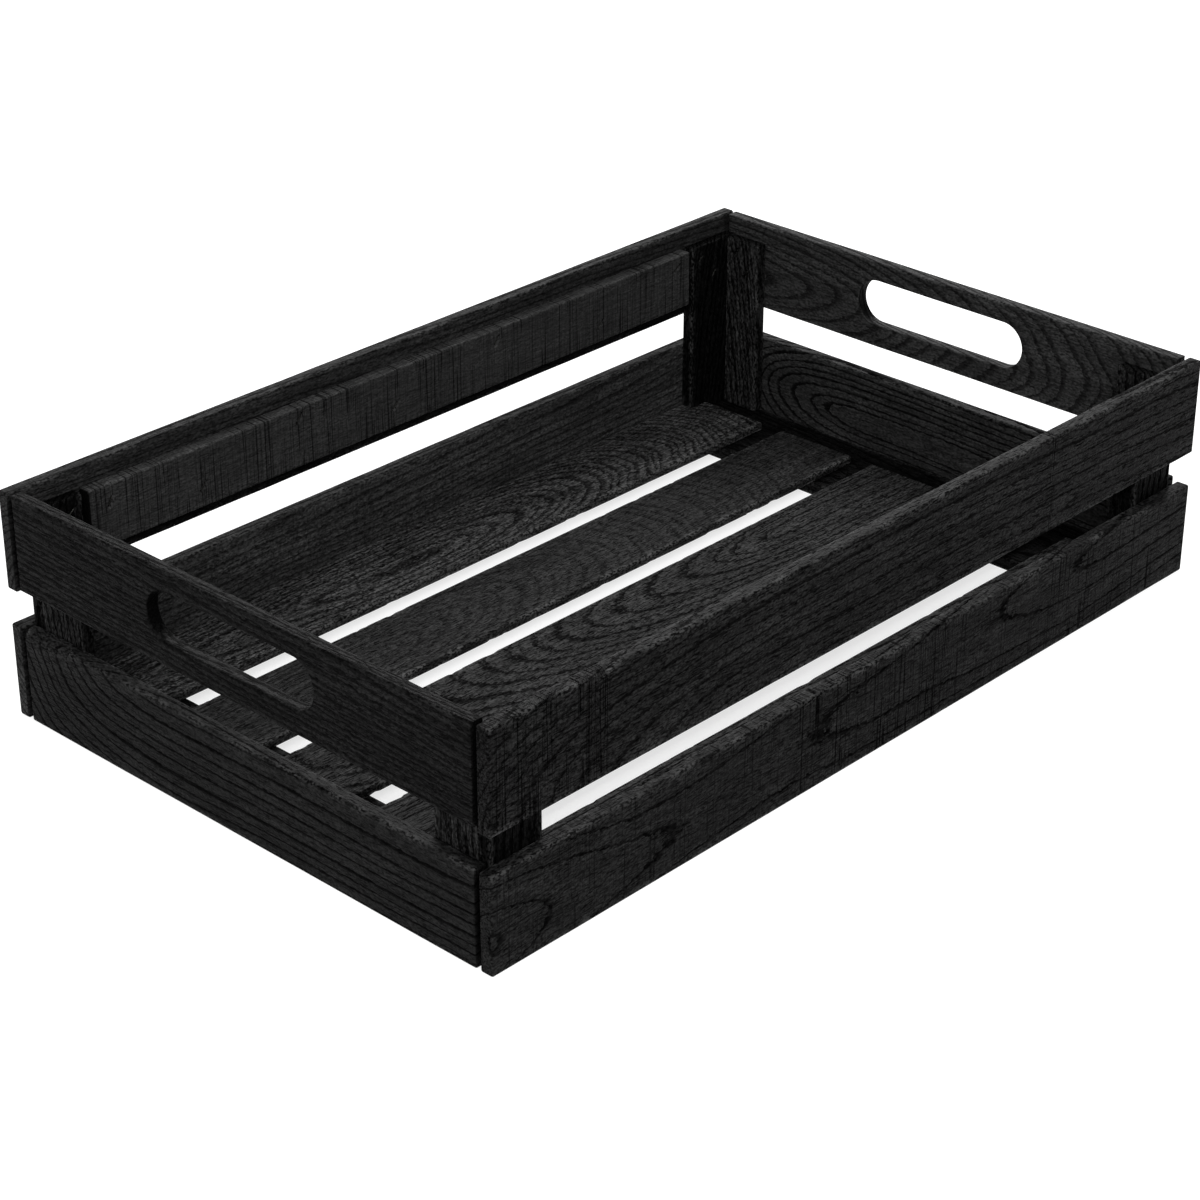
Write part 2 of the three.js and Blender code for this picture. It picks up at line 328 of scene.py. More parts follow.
def holed_board(length, across, thick, ease, stations, rows, centre):
    """A board with a long round-ended hole through its face. For every point round the
    outer edge, the nearest point of the hole's centre line gives a ray; the surface runs
    along that ray from the hole's wall over one face to the outer edge and back over the
    other face. Returns points (round, loop, 3), closed both ways."""
    a, b = length / 2, across / 2
    side = [(stations, np.full(len(stations), -b)), (np.full(len(rows), a), rows),
            (stations[::-1], np.full(len(stations), b)), (np.full(len(rows), -a), rows[::-1])]
    rim = np.stack([np.concatenate([s[0] for s in side]),
                    np.concatenate([s[1] for s in side])], axis=1)
    heart = np.stack([np.clip(rim[:, 0], -HAND_HOLE_STRAIGHT, HAND_HOLE_STRAIGHT),
                      np.full(len(rim), centre)], axis=1)
    ray = rim - heart
    ray /= np.linalg.norm(ray, axis=1)[:, None]
    turn = quarter(3)
    even = np.linspace(0, 1, 18)
    face = 0.6 * smooth(even) + 0.4 * even
    c = thick / 2
    wall = np.linspace(-(c - ease), c - ease, 4)
    hole_out = np.concatenate([np.zeros(4), ease * (1 - np.cos(turn)), [ease]])
    hole_up = np.concatenate([wall, c - ease + ease * np.sin(turn), [c]])
    loop = []
    for out, up in zip(hole_out, hole_up):
        loop.append((heart + ray * (HAND_HOLE_RADIUS + out), up))
    inner = heart + ray * (HAND_HOLE_RADIUS + ease)
    outer = rim * (1 - ease / np.array([a, b]))
    loop += [(inner + (outer - inner) * f, c) for f in face[1:]]
    for angle in turn[::-1]:
        shrink = ease * (1 - math.cos(angle))
        loop.append((rim * (1 - shrink / np.array([a, b])), c - ease + ease * math.sin(angle)))
    loop += [(rim, up) for up in wall[::-1]]
    for angle in turn:
        shrink = ease * (1 - math.cos(angle))
        loop.append((rim * (1 - shrink / np.array([a, b])), -c + ease - ease * math.sin(angle)))
    loop += [(inner + (outer - inner) * f, -c) for f in face[::-1]]
    for angle in turn[::-1]:
        out = ease * (1 - math.cos(angle))
        loop.append((heart + ray * (HAND_HOLE_RADIUS + out),
                     -c + ease - ease * math.sin(angle)))
    return np.stack([np.concatenate([flat, np.full((len(rim), 1), up)], axis=1)
                     for flat, up in loop], axis=1)


def grid_faces(count, around, closed):
    """Quads on a grid that is closed the second way round, and the first way too if asked."""
    rows = np.arange(count if closed else count - 1)[:, None]
    cols = np.arange(around)[None, :]
    after, beside = (rows + 1) % count, (cols + 1) % around
    corners = [rows * around + cols, after * around + cols, after * around + beside,
               rows * around + beside]
    return np.stack([np.broadcast_to(k, (len(rows), around)) for k in corners], 2).reshape(-1, 4)


def weathered(points, half, cut, seed, wander, grooves):
    """Moves a board's points from its true shape to its used one and says where its arrises are
    rubbed and chipped, with a painted highlight along them.

    Faces wander inwards by smooth noise. On each arris a flat break takes away whatever
    stands beyond a slanted plane; how deep the plane lies follows the listed chips and a
    ragged noise along the arris. Staple grooves press the face in beside the crown."""
    p = points.copy()
    edge_cells, face_cells = (22 * MM, 60 * MM, 9 * MM), (45 * MM, 18 * MM, 9 * MM)
    p[:, 1] -= np.sign(p[:, 1]) * wander * (np.abs(points[:, 1]) / half[1]) * (
        0.5 + 0.5 * noise(points, edge_cells, seed))
    p[:, 2] -= np.sign(p[:, 2]) * wander * 0.6 * (np.abs(points[:, 2]) / half[2]) * (
        0.5 + 0.5 * noise(points, face_cells, seed + 7))
    wear_and_highlight = np.zeros(len(p))
    for k, (side, face) in enumerate(((1, 1), (1, -1), (-1, 1), (-1, -1))):
        line = np.stack([points[:, 0], np.full(len(p), k * 1.0), np.zeros(len(p))], axis=1)
        coarse = noise(line, (9 * MM, 1, 1), seed + 11 + k)
        fine = noise(line, (2.5 * MM, 1, 1), seed + 31 + k)
        depth = cut.ragged * smooth((coarse - 0.1) * 1.6) * (1 + 0.5 * fine)
        rim = np.zeros(len(p))
        for place, reach, chip_side, chip_face, chip_depth in cut.chips:
            if (chip_side, chip_face) == (side, face):
                window = smooth((1 - np.abs(points[:, 0] - place) / reach) * 4)
                depth = np.maximum(depth * (1 - window), chip_depth * window * (1 + 0.02 * fine))
                rim = np.maximum(rim, 4 * window * (1 - window))
        beyond = side * p[:, 1] - half[1] + face * p[:, 2] - half[2] + depth
        taken = np.maximum(beyond, 0) / 2
        p[:, 1] -= side * taken
        p[:, 2] -= face * taken
        near = side * p[:, 1] - half[1] + face * p[:, 2] - half[2]
        # a pale band along each arris: rubbed wear and a painted highlight
        rubbed = np.exp(near / (1.2 * MM)) * np.clip(0.55 + 0.6 * coarse, 0, 1)
        rubbed *= min(2.6, cut.ragged / (0.5 * MM))
        nicked = smooth(taken / (0.25 * MM)) * np.where(depth > 2 * MM, 0.15 + 0.85 * rim, 1)
        wear_and_highlight = np.clip(np.maximum(wear_and_highlight, np.maximum(nicked, rubbed)), 0, 1)
    for place, across, face, slant in grooves:
        ahead = np.stack([points[:, 0] - place, points[:, 1] - across], axis=1)
        line = np.array([math.cos(slant), math.sin(slant)])
        run = np.clip(ahead @ line, -STAPLE_CROWN / 2, STAPLE_CROWN / 2)
        gap = np.linalg.norm(ahead - run[:, None] * line, axis=1)
        pressed = smooth((GROOVE_REACH - gap) / GROOVE_SLOPE) * (face * points[:, 2] > half[2] * 0.9)
        p[:, 2] -= face * GROOVE_DEPTH * pressed
    return p, wear_and_highlight


def log_place(points, cut, seed):
    """Where each point lay in the log: along it, and across and below measured from the
    heart, which drifts along the board by the cut's lean and opens out by its bow. The
    depth below eases towards nothing where it would pass through zero."""
    along = points[:, 0] - cut.heart_at
    across = points[:, 1] - cut.pith[0] - cut.lean[0] * along
    bow = np.where(along < 0, *cut.bow)
    below = points[:, 2] + cut.pith[1] + cut.lean[1] * along + bow * along**2
    below = (below + np.hypot(below, 6 * MM)) / 2
    return np.stack([points[:, 0] + 0.731 * (seed % 17), across, below], axis=1)


def shading(points, half, cut, inner, grain):
    """How much darker each point is than its board: its narrow faces by the cut's edge factor,
    painted light and shade, and to a quarter where painted shade falls at joints and beside
    other pieces, along with stain soaked into end grain. That is over both ends, or on a long
    board the strip of its inner face that an end board meets, and along the cut's own strip."""
    # narrow faces take the edge factor: painted light and shade on the tops and bottoms
    tone = np.where(np.abs(points[:, 1]) > half[1] - 0.6 * MM, cut.edge, 1)
    inside = inner * points[:, 2] > 0.8 * half[2]
    # painted shade where pieces meet, with stain soaked into end grain
    pooled_and_shaded = np.abs(points[:, 0]) > half[0] - 0.4 * MM
    if grain == X and half[0] > LONG_BOARD:
        pooled_and_shaded = inside & (np.abs(points[:, 0]) > half[0] - JOINT_STRIP)
    # painted shade along the cut's strip beside another piece
    low, high = cut.pooled_and_shaded
    pooled_and_shaded |= inside & (points[:, 1] > low) & (points[:, 1] < high)
    return np.where(pooled_and_shaded, POOLED_AND_SHADED_TONE, tone)


def painted_hole_shade(points, centre):
    """A factor for each point that darkens the two round ends of a hand hole's wall: painted shade
    inside the hole. It falls smoothly to its least round each end."""
    least, skin = 0.15, 0.3 * MM
    nearest = np.clip(points[:, 0], -HAND_HOLE_STRAIGHT, HAND_HOLE_STRAIGHT)
    away = points[:, :2] - np.stack([nearest, np.full(len(points), centre)], axis=1)
    wall = np.linalg.norm(away, axis=1) < HAND_HOLE_RADIUS + skin
    round_the_end = smooth(2 * np.abs(away[:, 0]) / HAND_HOLE_RADIUS - 0.4)
    return np.where(wall, 1 - (1 - least) * round_the_end, 1)


def facing_out(points, faces, caps):
    """The faces, turned over if the solid's volume comes out negative."""
    q = points[faces]
    volume = np.einsum("ij,ij->i", q[:, 0], np.cross(q[:, 1], q[:, 2])).sum()
    volume += np.einsum("ij,ij->i", q[:, 0], np.cross(q[:, 2], q[:, 3])).sum()
    return (faces, caps) if volume > 0 else (faces[:, ::-1], [cap[::-1] for cap in caps])


def new_piece(name, node, material, points, faces, caps, vectors):
    """Puts a worked-out surface into a mesh, gives it its material, and sets it on the crate
    in place of its CAD node."""
    faces, caps = facing_out(points, faces, caps)
    mesh = bpy.data.meshes.new(name)
    mesh.from_pydata(points.tolist(), [], faces.tolist() + [cap.tolist() for cap in caps])
    for key, values in vectors.items():
        mesh.attributes.new(key, "FLOAT_VECTOR", "POINT").data.foreach_set(
            "vector", values.astype(np.float32).ravel())
    mesh.shade_smooth()
    mesh.validate()
    mesh.materials.append(material)
    piece = bpy.data.objects.new(name, mesh)
    bpy.context.scene.collection.objects.link(piece)
    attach(piece, "root")
    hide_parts(node)


def staple_lie(node):
    """Reads a staple's lie from its CAD node: the wall axis that it is driven along, which
    way, the middle of its crown, and the crown's slant. The slant is the long axis of the
    scatter of its corners in the plane of the wall."""
    corners = np.array([v.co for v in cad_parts[node].data.vertices], float)
    low, high = corners.min(0), corners.max(0)
    drive = int(np.argmax(high - low))
    way = 1 if (low + high)[drive] > 0 else -1
    middle = (low + high) / 2
    middle[drive] = low[drive] if way > 0 else high[drive]
    flat = [k for k in (X, Y, Z) if k != drive]
    spot = corners[:, flat] - middle[flat]
    cov = spot.T @ spot
    slant = 0.5 * math.atan2(2 * cov[0, 1], cov[0, 0] - cov[1, 1])
    return drive, way, middle, slant


def staples_in(node):
    """The names of the staples that are driven through a board."""
    return [name for name in sorted(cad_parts) if name.startswith(f"staple_{node}_")]


def make_board(node, grain, cut, material, notches=(), hole=False):
    """Builds one board in the space of its CAD node, with its grain along an axis."""
    settings = bpy.context.scene.crate_timber
    low, high = (np.array(corner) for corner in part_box(node))
    size, middle = high - low, (low + high) / 2
    thin = int(np.argmin(size))
    wide = ({X, Y, Z} - {grain, thin}).pop()
    order = [grain, wide, thin]
    seed = sum(ord(letter) * (k + 3) for k, letter in enumerate(node))
    ease = settings.ease
    half = size[order] / 2
    grooves, near_along, near_across = [], [], []
    for name in staples_in(node):
        drive, way, spot, slant = staple_lie(name)
        flat = [k for k in (X, Y, Z) if k != drive]
        local = (spot - middle)[order]
        angle = slant if flat[0] == grain else math.pi / 2 - slant
        grooves.append((local[0], local[1], -way, angle))
        near_along.append(local[0] + GROOVE_MESH)
        near_across.append(local[1] + GROOVE_MESH)
    if hole:
        rim_along = spread(-half[0], half[0], 1.6 * MM)
        rim_across = spread(-half[1], half[1], 2 * MM)
        centre = HAND_HOLE_CENTRE - middle[Z]
        grid = holed_board(*(2 * half), ease, rim_along, rim_across, centre)
    else:
        step_in = 0.02 * MM     # length over which a notch's end wall steps in
        notch_at = [edge for start, stop, *_ in notches
                    for edge in (start - step_in, start, stop, stop + step_in)]
        extra_along = np.concatenate([*near_along, notch_at])
        stations = spread(-half[0] + ease, half[0] - ease, settings.step, extra_along)
        extra_rows = np.concatenate(near_across) if near_across else ()
        rows = spread(-half[1] + ease, half[1] - ease, 3 * MM, extra_rows)
        grid = plain_board(*(2 * half), ease, stations, rows, notches)
    count, around = grid.shape[:2]
    faces = grid_faces(count, around, hole)
    caps = [] if hole else [np.arange(around), np.arange(around)[::-1] + (count - 1) * around]
    true = grid.reshape(-1, 3)
    used, wear_and_highlight = weathered(true, half, cut, seed, settings.wander, grooves)
    sawn = cut.sawn + stretches(true[:, 0], cut.patches)
    # each point's tone: the board's stain together with painted light and shade
    tone = cut.tone * shading(true, half, cut, -np.sign(middle[thin]), grain)
    # painted shade on the round ends of each hand hole's wall
    if hole:
        tone *= painted_hole_shade(true, centre)
    vectors = {
        "log_place": log_place(true, cut, seed),
        "tooling": np.stack([sawn, wear_and_highlight, np.full(len(wear_and_highlight), cut.ring / MM)], axis=1),
        "board": np.stack([true[:, 1], tone, true[:, 2]], axis=1),
        "figure": np.tile(cut.figure, (len(wear_and_highlight), 1)),
    }
    placed = np.empty_like(used)
    placed[:, order] = used
    new_piece(f"{node}_timber", node, material, placed + middle, faces, caps, vectors)


# ---- materials ----

MATH = "ShaderNodeMath"
VECTOR = "ShaderNodeVectorMath"
NOISE = "ShaderNodeTexNoise"
RANGE = "ShaderNodeMapRange"
MIX = "ShaderNodeMix"


def add(tree, kind, inputs=(), out=0, **settings):
    """Adds a node with its settings and returns one of its outputs, or all for out=None.
    Inputs are links or values, by place or by name."""
    made = tree.nodes.new(kind)
    for name, value in settings.items():
        setattr(made, name, value)
    pairs = inputs.items() if isinstance(inputs, dict) else enumerate(inputs)
    for key, value in pairs:
        if isinstance(value, bpy.types.NodeSocket):
            tree.links.new(value, made.inputs[key])
        elif value is not None:
            made.inputs[key].default_value = value
    return made.outputs if out is None else made.outputs[out]


def per_metre(*sizes_mm):
    """How many repeats of a pattern fit in a metre, for sizes in millimetres."""
    return tuple(1000 / size for size in sizes_mm)


def grown_rings(tree, log, ring_mm, texture):
    """Years of growth as distance from the heart, warped by the way the tree grew, and more
    jagged in coarser wood. Returns two masks: the open first wood of a year, and the thin
    line at its very start."""
    swirl_reach, fray_reach = 0.008, 0.0026     # in metres
    swirl = add(tree, VECTOR, (log, per_metre(140, 40, 40)), operation="MULTIPLY")
    swirl = add(tree, NOISE, {"Vector": swirl, "Scale": 1.0, "Detail": 1.0}, out="Color")
    swirl = add(tree, VECTOR, (swirl, (0.0, swirl_reach, swirl_reach), log), operation="MULTIPLY_ADD")
    fray = add(tree, VECTOR, (log, per_metre(4, 2, 2)), operation="MULTIPLY")
    fray = add(tree, NOISE, {"Vector": fray, "Scale": 1.0, "Detail": 2.0}, out="Color")
    jag = add(tree, MATH, (texture, fray_reach), operation="MULTIPLY")
    jag = add(tree, "ShaderNodeCombineXYZ", (0.0, jag, jag))
    fray = add(tree, VECTOR, (fray, jag, swirl), operation="MULTIPLY_ADD")
    across_log = add(tree, VECTOR, (fray, (0.0, 1.0, 1.0)), operation="MULTIPLY")
    radius = add(tree, VECTOR, (across_log,), out="Value", operation="LENGTH")
    years = add(tree, MATH, (radius, 1000.0), operation="MULTIPLY")
    years = add(tree, MATH, (years, ring_mm), operation="DIVIDE")
    weather = add(tree, NOISE, {"W": years, "Scale": 0.35, "Detail": 1.0},
                  noise_dimensions="1D")
    years = add(tree, MATH, (weather, 1.6, years), operation="MULTIPLY_ADD")
    season = add(tree, MATH, (years,), operation="FRACT")
    early = add(tree, RANGE, (season, 0.0, 0.35, 1.0, 0.0), interpolation_type="SMOOTHSTEP")
    season_mm = add(tree, MATH, (season, ring_mm), operation="MULTIPLY")
    start = add(tree, RANGE, (season_mm, 0.6, 1.4, 1.0, 0.0), interpolation_type="SMOOTHSTEP")
    dashes = add(tree, VECTOR, (log, per_metre(9, 2.2, 2.2)), operation="MULTIPLY")
    dashes = add(tree, NOISE, {"Vector": dashes, "Scale": 1.0, "Detail": 1.0})
    dashes = add(tree, RANGE, (dashes, 0.36, 0.56, 0.65, 1.0))
    start = add(tree, MATH, (start, dashes), operation="MULTIPLY")
    return early, start


def open_pores(tree, place, early):
    """Short slots along the grain, closer together in the first wood of each year. The true
    slots are about 0.3 mm wide; they are drawn in cells of 0.9 mm so that they show."""
    slots = add(tree, VECTOR, (place, per_metre(6.5, 0.9, 0.9)), operation="MULTIPLY")
    slots = add(tree, NOISE, {"Vector": slots, "Scale": 1.0, "Detail": 1.0})
    slots = add(tree, MATH, (early, 0.06, slots), operation="MULTIPLY_ADD")
    return add(tree, RANGE, (slots, 0.54, 0.66), interpolation_type="SMOOTHSTEP")


def saw_marks(tree, place, sawn):
    """Thin straight lines across the board, a few millimetres apart, some in close groups.
    Returns the cut lines and how light or dark each narrow band between them is."""
    teeth = add(tree, VECTOR, (place, per_metre(1.5, 90, 90)), operation="MULTIPLY")
    teeth = add(tree, NOISE, {"Vector": teeth, "Scale": 1.0, "Detail": 1.0})
    groups = add(tree, VECTOR, (place, per_metre(13, 120, 120)), operation="MULTIPLY")
    groups = add(tree, NOISE, {"Vector": groups, "Scale": 1.0, "Detail": 1.0})
    lines = add(tree, RANGE, (teeth, 0.54, 0.61), interpolation_type="SMOOTHSTEP")
    often = add(tree, RANGE, (groups, 0.42, 0.58, 0.35, 1.0), interpolation_type="SMOOTHSTEP")
    lines = add(tree, MATH, (lines, often), operation="MULTIPLY")
    lines = add(tree, MATH, (lines, sawn), operation="MULTIPLY", use_clamp=True)
    bands = add(tree, MATH, (teeth, 0.5), operation="SUBTRACT")
    bands = add(tree, MATH, (bands, sawn), operation="MULTIPLY")
    return lines, bands


def stained_ash(name, stain, pore, wear_and_highlight):
    """Black-stained ash, planed and left with open pores. The stain hides the colour, so
    the eye reads it by its surface: thin dark lines where a year's first wood lies open,
    faint saw lines across it, and pale rubbed arrises, partly a painted highlight."""
    material = bpy.data.materials.new(name)
    material.use_nodes = True
    tree = material.node_tree
    tree.nodes.clear()
    log = add(tree, "ShaderNodeAttribute", out="Vector", attribute_name="log_place")
    tooling = add(tree, "ShaderNodeAttribute", out="Vector", attribute_name="tooling")
    board = add(tree, "ShaderNodeAttribute", out="Vector", attribute_name="board")
    sawn, rubbed, ring_mm = add(tree, "ShaderNodeSeparateXYZ", (tooling,), out=None)
    along = add(tree, "ShaderNodeSeparateXYZ", (log,))
    across, tone, through = add(tree, "ShaderNodeSeparateXYZ", (board,), out=None)
    place = add(tree, "ShaderNodeCombineXYZ", (along, across, through))
    figure = add(tree, "ShaderNodeAttribute", out="Vector", attribute_name="figure")
    texture, ringed, banded = add(tree, "ShaderNodeSeparateXYZ", (figure,), out=None)

    early, start = grown_rings(tree, log, ring_mm, texture)
    pores = open_pores(tree, place, early)
    early = add(tree, MATH, (early, banded), operation="MULTIPLY")
    start = add(tree, MATH, (start, ringed), operation="MULTIPLY")
    lines, bands = saw_marks(tree, place, sawn)
    fibre = add(tree, VECTOR, (place, per_metre(26, 1.5, 1.5)), operation="MULTIPLY")
    fibre = add(tree, NOISE, {"Vector": fibre, "Scale": 1.0, "Detail": 2.0})
    cloud = add(tree, VECTOR, (place, per_metre(60, 14, 14)), operation="MULTIPLY")
    cloud = add(tree, NOISE, {"Vector": cloud, "Scale": 1.0, "Detail": 2.0})
    grit = add(tree, VECTOR, (place, per_metre(1.8, 1.1, 1.1)), operation="MULTIPLY")
    grit = add(tree, NOISE, {"Vector": grit, "Scale": 1.0, "Detail": 1.0})

    # How light the stain reads: fibres, clouds and grit, then the season and the saw's bands.
    light = add(tree, RANGE, (fibre, 0.32, 0.68, 0.6, 1.4))
    part = add(tree, RANGE, (cloud, 0.3, 0.7, 0.7, 1.3))
    light = add(tree, MATH, (light, part), operation="MULTIPLY")
    part = add(tree, RANGE, (grit, 0.3, 0.7, 0.1, 2.0))
    light = add(tree, MATH, (light, part), operation="MULTIPLY")
    light = add(tree, MATH, (light, 1.0), operation="SUBTRACT")
    light = add(tree, MATH, (light, texture, 1.0), operation="MULTIPLY_ADD")
    part = add(tree, MATH, (early, -0.5, 1.15), operation="MULTIPLY_ADD")
    light = add(tree, MATH, (light, part), operation="MULTIPLY")
    part = add(tree, MATH, (bands, 1.4, 1.0), operation="MULTIPLY_ADD")
    part = add(tree, MATH, (part, 0.3), operation="MAXIMUM")
    light = add(tree, MATH, (light, part), operation="MULTIPLY")
    # each board's tone, partly painted light and shade, scales the stain's lightness
    light = add(tree, MATH, (light, tone), operation="MULTIPLY")

    # Pores, ring lines and saw lines hold pooled stain; arrises are rubbed bare in specks, partly a
    # painted highlight.
    dark = add(tree, MATH, (pores, texture), operation="MULTIPLY")
    dark = add(tree, MATH, (dark, 0.65), operation="MULTIPLY", use_clamp=True)
    dark = add(tree, MATH, (dark, start), operation="MAXIMUM")
    dark = add(tree, MATH, (dark, lines), operation="MAXIMUM")
    part = add(tree, MATH, (dark, -0.72, 1.0), operation="MULTIPLY_ADD")
    light = add(tree, MATH, (light, part), operation="MULTIPLY")
    lit = add(tree, VECTOR, {"Vector": tuple(stain), "Scale": light}, operation="SCALE")
    sunk = add(tree, MATH, (dark, 0.2), operation="MULTIPLY")
    colour = add(tree, MIX, {0: sunk, 6: lit, 7: (*pore, 1.0)}, out=2, data_type="RGBA")
    bare = add(tree, RANGE, (grit, 0.44, 0.58, 0.05, 0.85))
    bare = add(tree, MATH, (bare, rubbed), operation="MULTIPLY")
    colour = add(tree, MIX, {0: bare, 6: colour, 7: (*wear_and_highlight, 1.0)}, out=2, data_type="RGBA")

    # Relief in millimetres.
    height = add(tree, MATH, (pores, -0.3), operation="MULTIPLY")
    height = add(tree, MATH, (start, -0.2, height), operation="MULTIPLY_ADD")
    height = add(tree, MATH, (lines, -0.1, height), operation="MULTIPLY_ADD")
    height = add(tree, MATH, (bands, 0.4, height), operation="MULTIPLY_ADD")
    height = add(tree, MATH, (fibre, 0.15, height), operation="MULTIPLY_ADD")
    height = add(tree, MATH, (grit, 0.4, height), operation="MULTIPLY_ADD")
    normal = add(tree, "ShaderNodeBump", {"Strength": 1.0, "Distance": MM, "Height": height})
    rough = add(tree, MATH, (grit, 0.25, 0.4), operation="MULTIPLY_ADD")
    rough = add(tree, MATH, (dark, 0.25, rough), operation="MULTIPLY_ADD", use_clamp=True)
    gleam = add(tree, MATH, (dark, -0.02, 0.02), operation="MULTIPLY_ADD")

    shader = add(tree, "ShaderNodeBsdfPrincipled", {
        "Base Color": colour, "Roughness": rough, "IOR": 1.5, "Specular IOR Level": gleam,
        "Normal": normal})
    add(tree, "ShaderNodeOutputMaterial", (shader,), out=None)
    return material


def dulled_steel(colour):
    """Galvanised steel wire, drawn round and wiped with stain: a soft grey gleam with
    darker smears."""
    material = bpy.data.materials.new("Steel staple wire, drawn and stained")
    material.use_nodes = True
    tree = material.node_tree
    tree.nodes.clear()
    place = add(tree, "ShaderNodeTexCoord", out="Object")
    smear = add(tree, NOISE, {"Vector": place, "Scale": per_metre(1.5)[0], "Detail": 2.0})
    tint = add(tree, MIX, {0: smear, 6: (*linear("#0c0c0c"), 1.0), 7: (*colour, 1.0)},
               out=2, data_type="RGBA")
    rough = add(tree, RANGE, (smear, 0.3, 0.7, 0.6, 0.4))
    shader = add(tree, "ShaderNodeBsdfPrincipled", {
        "Base Color": tint, "Metallic": 1.0, "Roughness": rough})
    add(tree, "ShaderNodeOutputMaterial", (shader,), out=None)
    return material


def timber(kind):
    """The stained ash for walls, frame or floor, made once."""
    names = {"wall": "Ash wall boards, planed and stained black",
             "frame": "Ash posts and ledgers, sawn and stained black",
             "floor": "Ash slats, rough planed and thinly stained"}
    found = bpy.data.materials.get(names[kind])
    if found:
        return found
    settings = bpy.context.scene.crate_timber
    stain = settings.slat_stain if kind == "floor" else settings.stain
    return stained_ash(names[kind], stain, settings.pore, settings.wear_and_highlight)


# ---- operators ----

class CRATE_OT_wall_boards(bpy.types.Operator):
    """Build the four long wall boards and the four end boards, two of them with hand holes"""

    bl_idname = "crate.wall_boards"
    bl_label = "Wall boards"

    def execute(self, context):
        for node, cut in WALL_CUTS.items():
            grain = Y if "_end_" in node else X
            holed = node.endswith("end_board_upper")
            make_board(node, grain, cut, timber("wall"), hole=holed)
        return {"FINISHED"}


class CRATE_OT_corner_posts(bpy.types.Operator):
    """Build the two upright boards of each corner post"""

    bl_idname = "crate.corner_posts"
    bl_label = "Corner posts"

    def execute(self, context):
        for node, cut in POST_CUTS.items():
            make_board(node, Z, cut, timber("frame"))
        return {"FINISHED"}


class CRATE_OT_ledgers(bpy.types.Operator):
    """Build the ledgers that carry a tray along the long walls"""

    bl_idname = "crate.ledgers"
    bl_label = "Ledgers"

    def execute(self, context):
        for node, cut in LEDGER_CUTS.items():
            make_board(node, X, cut, timber("frame"))
        return {"FINISHED"}


class CRATE_OT_cross_battens(bpy.types.Operator):
    """Build the two flat battens across the bottom"""

    bl_idname = "crate.cross_battens"
    bl_label = "Cross battens"

    def execute(self, context):
        for node, cut in BATTEN_CUTS.items():
            make_board(node, Y, cut, timber("frame"))
        return {"FINISHED"}


class CRATE_OT_floor_slats(bpy.types.Operator):
    """Build the lengthwise floor slats, the outer two notched round the corner posts"""

    bl_idname = "crate.floor_slats"
    bl_label = "Floor slats"

    def execute(self, context):
        last = len(SLAT_CUTS)
        for number, (node, cut) in enumerate(SLAT_CUTS.items(), 1):
            wall = {1: ("front", -1), last: ("back", 1)}.get(number)
            notches = self.notches(node, *wall) if wall else ()
            make_board(node, X, cut, timber("floor"), notches=notches)
        return {"FINISHED"}

    @staticmethod
    def notches(node, wall, side):
        """The two corners that a slat loses to the posts: from, to, side and depth."""
        low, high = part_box(node)
        middle = (low.x + high.x) / 2
        clearance = 0.3 * MM
        cuts = []
        for end in ("left", "right"):
            post_low, post_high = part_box(f"post_{wall}_{end}_long")
            depth = (post_high.y - low.y if side < 0 else high.y - post_low.y) + clearance
            if end == "left":
                cuts.append((low.x - middle, post_high.x + clearance - middle, side, depth))
            else:
                cuts.append((post_low.x - clearance - middle, high.x - middle, side, depth))
        return cuts


class CRATE_OT_staples(bpy.types.Operator):
    """Build every staple as a round wire bent into a U"""

    bl_idname = "crate.staples"
    bl_label = "Staples"

    def execute(self, context):
        steel = dulled_steel(context.scene.crate_timber.steel)
        for node in sorted(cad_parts):
            if node.startswith("staple_"):
                self.bend(node, steel)
        return {"FINISHED"}

    @staticmethod
    def bend(node, steel):
        """A round section carried along a U: leg, quarter circle, crown, quarter circle,
        leg. The path lies in a plane, so the section turns about that plane's normal."""
        drive, way, middle, slant = staple_lie(node)
        low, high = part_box(node)
        depth = high[drive] - low[drive]
        radius, bend = STAPLE_WIRE / 2, STAPLE_BEND
        tip_clearance = 1e-4    # keeps the wire's ends inside its CAD node
        half = STAPLE_CROWN / 2 - radius
        turn = quarter(4)
        leg = np.linspace(depth - tip_clearance, radius + bend, 6)
        side = np.concatenate([np.full(6, -half), -half + bend * (1 - np.cos(turn)),
                               np.linspace(-half + bend, 0, 5)])
        sink = np.concatenate([leg, radius + bend * (1 - np.sin(turn)), np.full(5, radius)])
        side = np.concatenate([side, -side[-2::-1]])
        sink = np.concatenate([sink, sink[-2::-1]])
        ahead = np.stack([np.gradient(side), np.gradient(sink)], axis=1)
        ahead /= np.linalg.norm(ahead, axis=1)[:, None]
        angle = np.linspace(0, 2 * math.pi, 10, endpoint=False)
        wide = side[:, None] - ahead[:, 1:] * radius * np.cos(angle)
        deep = sink[:, None] + ahead[:, :1] * radius * np.cos(angle)
        off = np.broadcast_to(radius * np.sin(angle), wide.shape)
        flat = [k for k in (X, Y, Z) if k != drive]
        points = np.empty((*wide.shape, 3))
        points[..., drive] = middle[drive] + way * deep
        points[..., flat[0]] = middle[flat[0]] + wide * math.cos(slant) - off * math.sin(slant)
        points[..., flat[1]] = middle[flat[1]] + wide * math.sin(slant) + off * math.cos(slant)
        count, around = wide.shape
        caps = [np.arange(around), np.arange(around)[::-1] + (count - 1) * around]
        new_piece(f"{node}_wire", node, steel, points.reshape(-1, 3),
                  grid_faces(count, around, False), caps, {})


